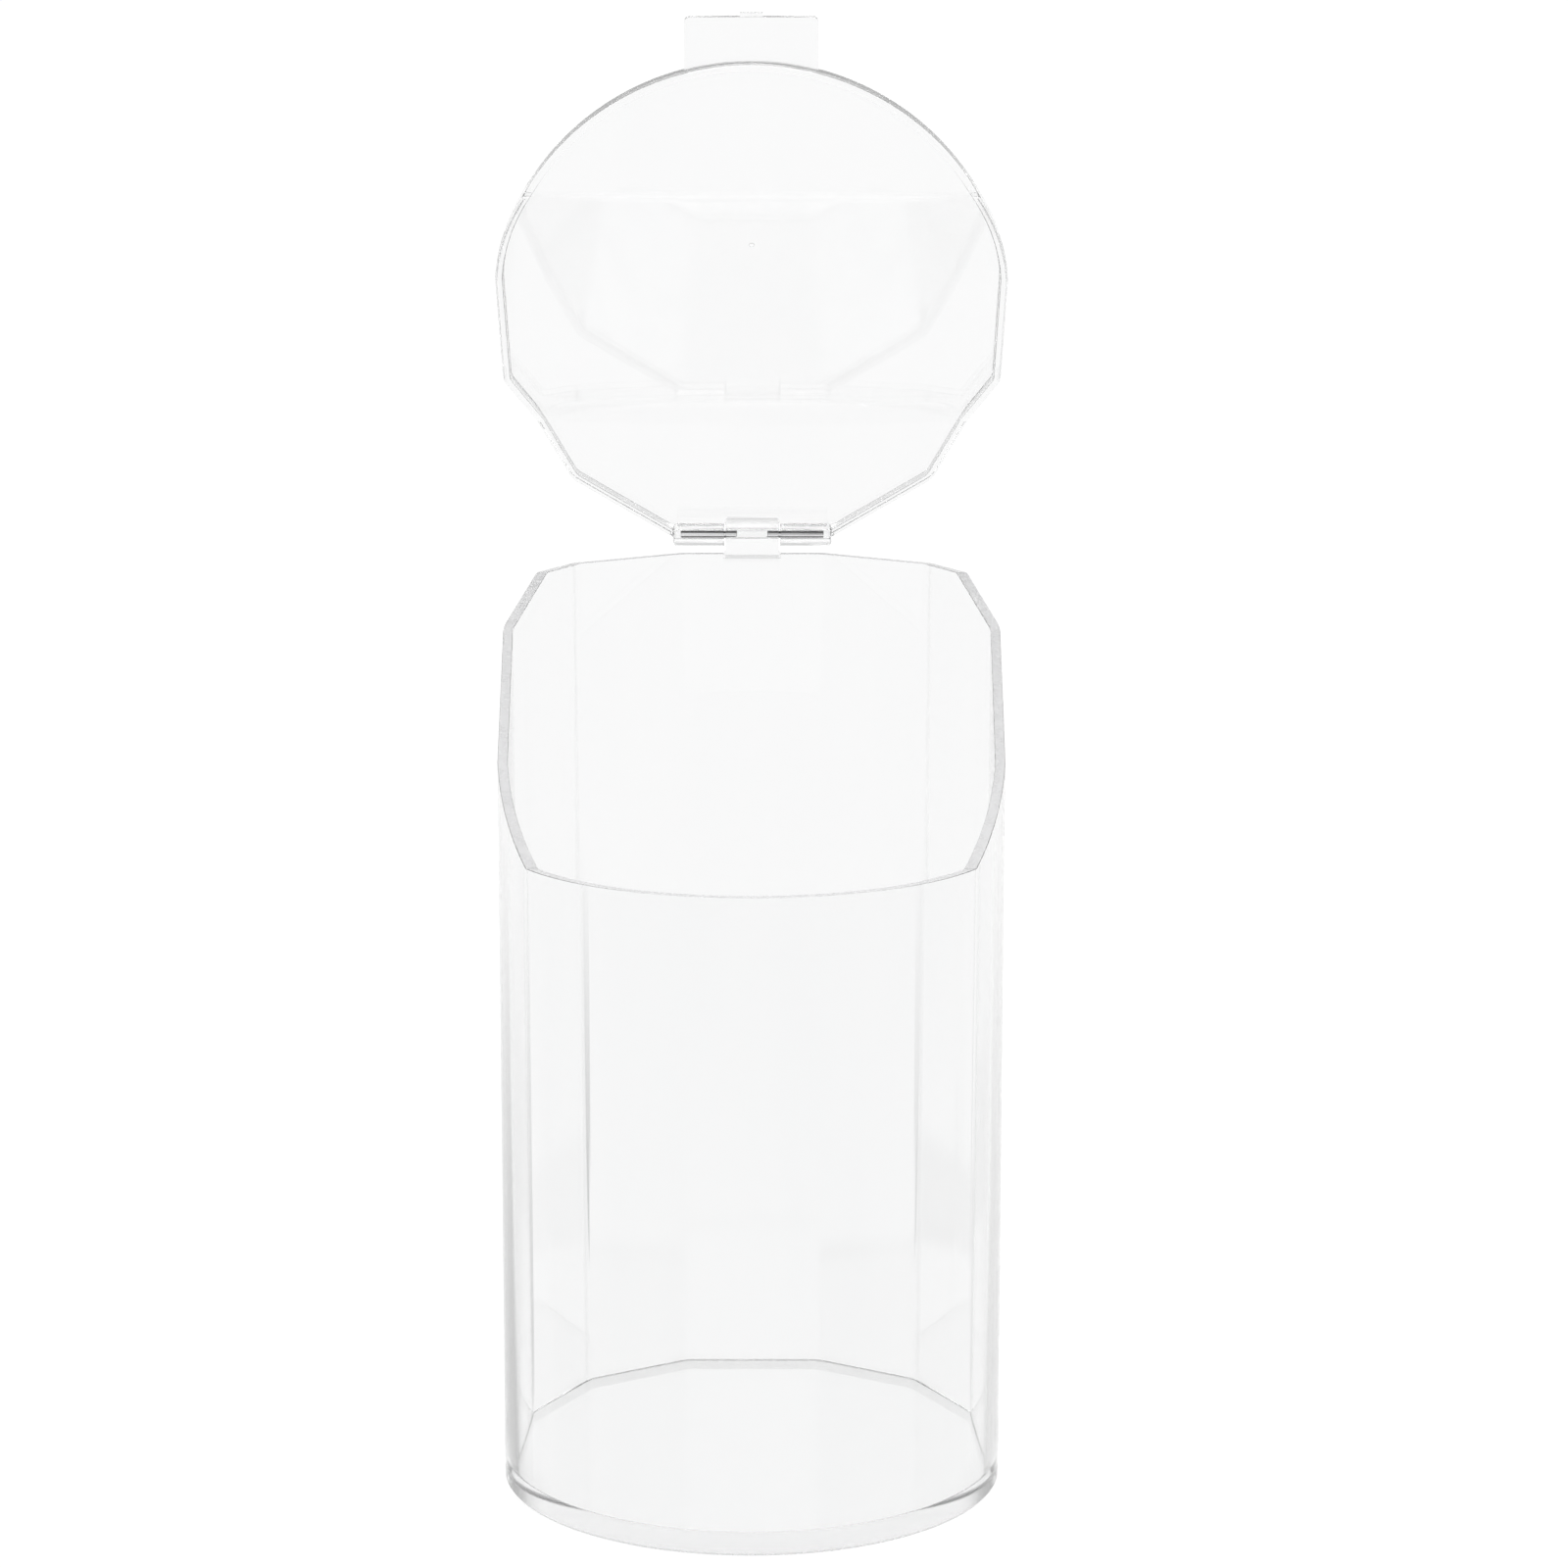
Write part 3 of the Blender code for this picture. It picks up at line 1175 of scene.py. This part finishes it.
    def _shift_row(
        self, bench: Bench, height: float, outer: bool, along: float, up: float
    ) -> None:
        """Move the outer or the inner edge of the underside.

        Args:
            bench: The bench with the knuckle.
            height: The height of the underside.
            outer: Whether the outer edge moves, or else the inner one.
            along: How far it moves along Y.
            up: How far it moves up.
        """
        middle_y = self.hinge.y
        bench.pick(
            Part.VERTS,
            lambda vert: (vert.co.y > middle_y) == outer
            and abs(vert.co.z - height) < MERGE,
        )
        bpy.ops.transform.translate(value=(0, along, up))


@dataclass
class Lid:
    """The shallow lid with its finger tab and the two barrels of the hinge."""

    plan: HolderPlan
    rim: RimLine
    hinge: HingeLine
    open_degrees: float = 81.5
    seat_gap: float = 0.0003
    rise: float = 0.0054
    plate: float = 0.0018
    lip: float = 0.0015
    overhang: float = 0.0005
    edge_round: float = 0.00020
    tab_round: float = 0.00006
    lip_fold: float = 0.0010
    plate_fold: float = 0.0120
    tab_width: float = 0.0269
    tab_reach: float = 0.0090
    tab_root: float = 0.0030
    tab_corner: float = 0.0012
    tab_corner_steps: int = 6
    tab_step: float = 0.0001
    gate_width: float = 0.0046
    gate_reach: float = 0.0008
    gate_thickness: float = 0.0010
    gate_steps: int = 2
    leaf_reach: float = 0.0058
    leaf_flat: float = 0.0042
    leaf_drop: float = 0.0010
    leaf_inset: float = 0.0009
    notch_round: float = 0.0008
    notch_steps: int = 5
    dot_radius: float = 0.0006
    dot_rise: float = 0.0002
    dot_steps: int = 32
    dot_y: float = -0.0222
    finish: ClearStyrene = ClearStyrene("lid_clear_styrene")

    @property
    def plate_under(self) -> float:
        """The height of the plate's underside at the back."""
        return self.rim.back_height + self.rise - self.plate

    def build(self) -> Thing:
        """Model the lid closed, open it, dress it and hang it on its body.

        Returns:
            The finished lid.
        """
        lid = self._tray()
        hinge = self.hinge
        relief = box(
            "lip_relief",
            (-hinge.half, hinge.y - hinge.barrel_radius, self.rim.front_height),
            (hinge.half, hinge.y + hinge.overrun, self.plate_under),
        )
        merge(lid, relief, Join.CUT)
        barrels = [self._barrel(side) for side in Side]
        for extra in (*barrels, self._leaf(), self._tab(), self._dot()):
            merge(lid, extra, Join.ADD)
        merge(lid, self._notch(), Join.CUT)
        bore_end = hinge.half + hinge.overrun
        radius = hinge.pin_radius + hinge.pin_clearance
        merge(lid, hinge.rod("lid_bore", radius, -bore_end, bore_end), Join.CUT)
        open_up(lid, hinge, self.open_degrees)
        shade(lid)
        dress(lid, self.finish)
        stand_for(lid, "lid", "lid")
        return lid

    def _tray(self) -> Thing:
        """Model the plate and its lip.

        Returns:
            One closed solid.
        """
        low = self.rim.front_height - self.hinge.overrun
        high = self.rim.back_height + self.rise + self.hinge.overrun
        tight, wide = self.plate_fold, self.plate_fold + self.plate
        seat = self.rim.rounded(self.seat_gap, self.lip_fold, self.lip_fold)
        above = self.rim.rounded(self.rise, tight, wide)
        under = self.rim.rounded(self.rise - self.plate, wide, tight)
        walls = []
        for name, grow, top in (
            ("flip_lid", self.overhang, above),
            ("lid_inside", self.overhang - self.lip, under),
        ):
            wall = self.plan.wall(name, low, high, grow)
            with Bench(wall) as bench:
                top.trim(bench, keep_below=True)
                seat.trim(bench, keep_below=False)
                top.close(bench, walls=1)
            walls.append(wall)
        lid = join_walls(*walls)
        with Bench(lid) as bench:
            seat.close(bench, walls=2)
            bench.point_out()
            rounded = bench.round_edges(
                lambda edge: bend(edge) > STEEP, self.edge_round
            )
        log.info("lid edges rounded: %d", rounded)
        return lid

    def _barrel(self, side: Side) -> Thing:
        """Model one barrel, rounded at its outer end.

        Args:
            side: The side of the knuckle.

        Returns:
            The barrel.
        """
        hinge = self.hinge
        ends = sorted((side.value * hinge.barrel_start, side.value * hinge.half))
        name = "barrel_" + side.name.lower()
        barrel = hinge.rod(name, hinge.barrel_radius, *ends)
        with Bench(barrel) as bench:
            bench.round_edges(
                lambda edge: bend(edge) > STEEP
                and side.value * middle(edge).x > hinge.half - MERGE,
                hinge.barrel_end_round,
                hinge.barrel_end_steps,
            )
            bench.round_edges(
                lambda edge: bend(edge) > STEEP
                and side.value * middle(edge).x < hinge.barrel_start + MERGE,
                self.edge_round,
            )
        return barrel

    def _leaf(self) -> Thing:
        """Model the thickened strip between the barrels and the plate.

        Returns:
            The strip.
        """
        hinge = self.hinge
        half = hinge.half - self.leaf_inset
        low = self.plate_under - self.leaf_drop
        front = hinge.y - self.leaf_flat
        high = self.plate_under + self.plate / 2
        leaf = box("leaf", (-half, front, low), (half, hinge.y, high))
        with Bench(leaf) as bench:
            bench.pick(
                Part.FACES,
                lambda face: abs(face.calc_center_median().y - front) < MERGE,
            )
            bench.extrude((0, self.leaf_flat - self.leaf_reach, 0))
            bench.pick(
                Part.VERTS,
                lambda vert: vert.co.y < front - MERGE and vert.co.z < low + MERGE,
            )
            bpy.ops.transform.translate(value=(0, 0, self.leaf_drop))
            bench.round_edges(
                lambda edge: bend(edge) > SHARP
                and middle(edge).z < low + MERGE
                and abs(middle(edge).x) > half - MERGE,
                self.edge_round,
            )
        return leaf

    def _tab(self) -> Thing:
        """Model the finger tab, with the stub that its mould's gate left.

        Returns:
            The tab.
        """
        reach = self.plan.front_reach + self.overhang
        tip = -(reach + self.tab_reach)
        half = self.tab_width / 2
        centre = self.rim.front_height + self.rise - self.plate / 2
        thick = self.plate / 2 - self.tab_step
        tab = box(
            "tab",
            (-half, tip, centre - thick),
            (half, self.tab_root - reach, centre + thick),
        )
        wide, deep = self.gate_width / 2, self.gate_thickness / 2
        stub = box(
            "gate_stub",
            (-wide, tip - self.gate_reach, centre - deep),
            (wide, tip + self.tab_corner, centre + deep),
        )
        with Bench(tab) as bench:
            bench.round_edges(
                lambda edge: abs(middle(edge).z - centre) < MERGE
                and middle(edge).y < tip + MERGE,
                self.tab_corner,
                self.tab_corner_steps,
            )
            bench.round_edges(
                lambda edge: bend(edge) > SHARP
                and abs(abs(middle(edge).z - centre) - thick) < MERGE
                and middle(edge).y < self.tab_root - reach - MERGE,
                self.tab_round,
            )
        with Bench(stub) as bench:
            bench.round_edges(
                lambda edge: middle(edge).y < tip - self.gate_reach / 2,
                self.tab_round,
                self.gate_steps,
            )
        merge(tab, stub, Join.ADD)
        return tab

    def _dot(self) -> Thing:
        """Model the small round mark of the gate on the slope of the plate.

        Returns:
            The mark.
        """
        normal = self.rim.normals()[1]
        fold = self.rim.folds(self.rise)[0]
        along = (self.dot_y - fold.y) / normal.z
        place = fold + Vector((0, normal.z, -normal.y)) * along
        depth = self.plate / 2 + self.dot_rise
        bpy.ops.mesh.primitive_cylinder_add(
            vertices=self.dot_steps,
            radius=self.dot_radius,
            depth=depth,
            location=place + normal * (self.dot_rise - depth / 2),
            rotation=(math.atan2(-normal.y, normal.z), 0, 0),
        )
        dot = named("gate_dot")
        with Bench(dot) as bench:
            bench.round_edges(
                lambda edge: bend(edge) > SHARP
                and (middle(edge) - fold).dot(normal) > 0,
                self.dot_rise / 2,
            )
        return dot

    def _notch(self) -> Thing:
        """Model the gap in the lid's back edge that takes the knuckle.

        Returns:
            The solid to cut with.
        """
        hinge = self.hinge
        half = hinge.knuckle_half + hinge.knuckle_gap
        front = hinge.y - hinge.knuckle_radius - hinge.knuckle_clearance
        notch = box(
            "knuckle_notch",
            (-half, front, self.rim.front_height),
            (half, hinge.y + hinge.overrun, self.plate_under + hinge.overrun),
        )
        with Bench(notch) as bench:
            bench.round_edges(
                lambda edge: abs(middle(edge).y - front) < MERGE
                and abs(abs(middle(edge).x) - half) < MERGE,
                self.notch_round,
                self.notch_steps,
            )
        return notch


def open_up(thing: Thing, hinge: HingeLine, degrees: float) -> None:
    """Turn a piece that was drawn with the lid closed to its open place.

    Args:
        thing: The piece.
        hinge: The line on which it turns.
        degrees: How far it opens.
    """
    place = Matrix.Translation((0, hinge.y, hinge.z))
    turn = Matrix.Rotation(math.radians(-degrees), 4, "X")
    thing.data.transform(place @ turn @ place.inverted())


@dataclass
class Pins:
    """The two short steel pins, from inside the knuckle out through the barrels."""

    hinge: HingeLine
    end_round: float = 0.0002

    def build(self) -> list[Thing]:
        """Model both pins, dress them and hang them on the lid's body.

        Returns:
            The finished pins.
        """
        hinge = self.hinge
        pins = []
        for side in Side:
            name = "hinge_pin_" + side.name.lower()
            inner = hinge.knuckle_half - hinge.pin_set_in
            outer = inner + hinge.pin_length
            ends = sorted((side.value * inner, side.value * outer))
            pin = hinge.rod(name + "_wire", hinge.pin_radius, *ends)
            with Bench(pin) as bench:
                bench.round_edges(lambda edge: bend(edge) > SHARP, self.end_round)
            shade(pin)
            dress(pin, DrawnSteel(name + "_drawn_steel"))
            stand_for(pin, "lid", name)
            pins.append(pin)
        return pins


@dataclass(frozen=True)
class SoftBox:
    """A square studio lamp that looks at the holder."""

    name: str
    place: Triple
    size: float
    power: float
    target: Triple = (0.0, 0.0, 0.15)

    def hang(self) -> None:
        """Put the lamp in its place."""
        data = bpy.data.lights.new(self.name, "AREA")
        data.shape = "SQUARE"
        data.size = self.size
        data.energy = self.power
        lamp = bpy.data.objects.new(self.name, data)
        lamp.location = self.place
        aim = Vector(self.target) - Vector(self.place)
        lamp.rotation_euler = aim.to_track_quat("-Z", "Y").to_euler()
        bpy.context.scene.collection.objects.link(lamp)


@dataclass(frozen=True)
class PaintedFloorShade:
    """Painted shade on the floor, to the left and right behind the cup.

    The strips of painted shade open from a point in front of the cup and follow its
    side walls, so the walls get their darker sides.  Slants are across per along.
    """

    apex: float = 0.4845
    slant: Pair = (0.110, 0.125)
    spread: float = 0.56
    edge: Pair = (0.066, 0.085)
    near: Pair = (-0.06, -0.02)
    left: Pair = (0.52, 0.0)
    right: Pair = (0.27, 0.0)
    fade: Pair = (0.02, 0.62)

    def share(self, sheet: NodeSheet) -> Socket:
        """How much of the floor's glow the painted shade takes away at a place, from 0
        to 1.

        Args:
            sheet: The floor's node sheet.

        Returns:
            The missing share.
        """
        place = sheet.node("TexCoord")
        parts = sheet.node("SeparateXYZ")
        sheet.link(place.outputs["Object"], parts.inputs[0])
        across, along = parts.outputs["X"], parts.outputs["Y"]
        aside = sheet.calc("ABSOLUTE", across)
        ahead = sheet.calc("ADD", along, self.apex)
        slant = sheet.calc("DIVIDE", aside, ahead)
        outward = sheet.calc(
            "SUBTRACT", aside, sheet.calc("MULTIPLY", along, self.spread)
        )
        depths = []
        for ends in (self.left, self.right):
            depths.append(sheet.ranged(along, self.fade, ends, "SMOOTHSTEP"))
        side = sheet.calc("GREATER_THAN", across, 0.0)
        share = sheet.ranged(side, (0.0, 1.0), tuple(depths))
        for value, span, ends in (
            (slant, self.slant, (0.0, 1.0)),
            (along, self.near, (0.0, 1.0)),
            (outward, self.edge, (1.0, 0.0)),
        ):
            limit = sheet.ranged(value, span, ends, "SMOOTHSTEP")
            share = sheet.calc("MULTIPLY", share, limit)
        return share


@dataclass(frozen=True)
class Studio:
    """A pale floor, a bright horizon, soft lamps and the camera."""

    floor_reach: float = 30.0
    floor_steps: int = 64
    floor_drop: float = 0.0002
    floor_colour: Triple = (0.86, 0.86, 0.86)
    floor_glow_share: float = 0.9
    floor_glow: float = 1.08
    floor_veil: float = 0.10
    # Painted shade on the floor behind the cup, which only rays through the plastic
    # see.
    painted_shade: PaintedFloorShade = PaintedFloorShade()
    sky_rise: Pair = (0.30, 0.62)
    ceiling_grey: float = 0.70
    flag_span: Pair = (0.62, 0.95)
    flag_grey: float = 0.30
    lamps: tuple[SoftBox, ...] = (
        SoftBox("overhead_box", (0.0, 0.2, 1.9), 1.0, 9.0),
        SoftBox("left_box", (-1.7, -0.6, 1.5), 0.8, 6.0),
        SoftBox("right_box", (1.7, -0.6, 1.5), 0.8, 6.0),
    )
    lens: float = 110.786
    sensor: float = 36.0
    clip: Pair = (0.01, 200.0)
    camera_place: Triple = (0.00679, -0.99117, 0.35447)
    camera_pitch: float = 11.7858
    camera_yaw: float = 0.2377
    camera_roll: float = -0.0668
    light_bounces: int = 64

    def build(self) -> None:
        """Set up the whole studio."""
        self._floor()
        self._sky()
        for lamp in self.lamps:
            lamp.hang()
        self._camera()
        self._light_paths()

    def _floor(self) -> None:
        """A wide pale floor that keeps shadows, with painted shade behind the cup."""
        bpy.ops.mesh.primitive_circle_add(
            vertices=self.floor_steps,
            radius=self.floor_reach,
            fill_type="NGON",
            location=(0, 0, -self.floor_drop),
        )
        floor = named("studio_floor")
        sheet = NodeSheet(bpy.data.materials.new("pale_floor"))
        path = sheet.node("LightPath").outputs
        through = path["Is Transmission Ray"]
        seen = sheet.calc("MAXIMUM", path["Is Camera Ray"], path["Is Glossy Ray"])
        part = sheet.calc("MULTIPLY", seen, self.floor_glow_share)
        share = sheet.calc("MAXIMUM", part, through)
        # Rays through the plastic see the floor dimmer: an even veil plus the painted
        # shade.
        painted_shade_and_veil = sheet.calc("ADD", self.painted_shade.share(sheet), self.floor_veil)
        loss = sheet.calc("MULTIPLY", painted_shade_and_veil, through)
        glow = sheet.node("Emission")
        strength = sheet.calc("SUBTRACT", self.floor_glow, loss)
        sheet.link(strength, glow.inputs["Strength"])
        matt = sheet.node("BsdfDiffuse")
        matt.inputs["Color"].default_value = (*self.floor_colour, 1.0)
        end = sheet.tree.nodes["Material Output"]
        sheet.link(sheet.blend(share, matt, glow), end.inputs["Surface"])
        sheet.tree.nodes.remove(sheet.tree.nodes["Principled BSDF"])
        floor.data.materials.append(sheet.owner)

    def _sky(self) -> None:
        """White near the horizon, softer grey overhead and at both sides."""
        world = bpy.data.worlds.new("studio_sky")
        bpy.context.scene.world = world
        sheet = NodeSheet(world)
        sheet.tree.nodes.clear()
        place = sheet.node("TexCoord")
        parts = sheet.node("SeparateXYZ")
        sheet.link(place.outputs["Generated"], parts.inputs[0])
        aside = sheet.calc("ABSOLUTE", parts.outputs["X"])
        levels = []
        for value, span, end in (
            (parts.outputs["Z"], self.sky_rise, self.ceiling_grey),
            (aside, self.flag_span, self.flag_grey),
        ):
            levels.append(sheet.ranged(value, span, (1.0, end), "SMOOTHSTEP"))
        soft, white = sheet.node("Background"), sheet.node("Background")
        for plain in (soft, white):
            plain.inputs["Color"].default_value = (1.0, 1.0, 1.0, 1.0)
        sheet.link(sheet.calc("MULTIPLY", *levels), soft.inputs["Strength"])
        seen = sheet.node("LightPath").outputs["Is Camera Ray"]
        end = sheet.node("OutputWorld")
        sheet.link(sheet.blend(seen, soft, white), end.inputs["Surface"])

    def _camera(self) -> None:
        """The camera at the picture's height, distance and angle."""
        data = bpy.data.cameras.new("studio_camera")
        data.lens = self.lens
        data.sensor_width = self.sensor
        data.clip_start, data.clip_end = self.clip
        camera = bpy.data.objects.new("studio_camera", data)
        yaw = Matrix.Rotation(math.radians(-self.camera_yaw), 4, "Z")
        tilt = Matrix.Rotation(math.radians(90 - self.camera_pitch), 4, "X")
        roll = Matrix.Rotation(math.radians(-self.camera_roll), 4, "Z")
        camera.matrix_world = yaw @ Matrix.Translation(self.camera_place) @ tilt @ roll
        bpy.context.scene.collection.objects.link(camera)
        bpy.context.scene.camera = camera
        bpy.context.scene.view_settings.view_transform = "Standard"

    def _light_paths(self) -> None:
        """Let light pass back and forth in the clear walls until it leaves them."""
        paths = bpy.context.scene.cycles
        paths.max_bounces = self.light_bounces
        paths.transmission_bounces = self.light_bounces
        paths.glossy_bounces = self.light_bounces


def main() -> None:
    """Build the holder piece by piece and set the studio round it."""
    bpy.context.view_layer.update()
    plan = HolderPlan()
    rim = RimLine()
    hinge = HingeLine()
    Cup(plan, rim, hinge).build()
    Lid(plan, rim, hinge).build()
    Pins(hinge).build()
    Studio().build()


if __name__ == "__main__":
    logging.basicConfig(level=logging.INFO, format="%(name)s: %(message)s")
    main()
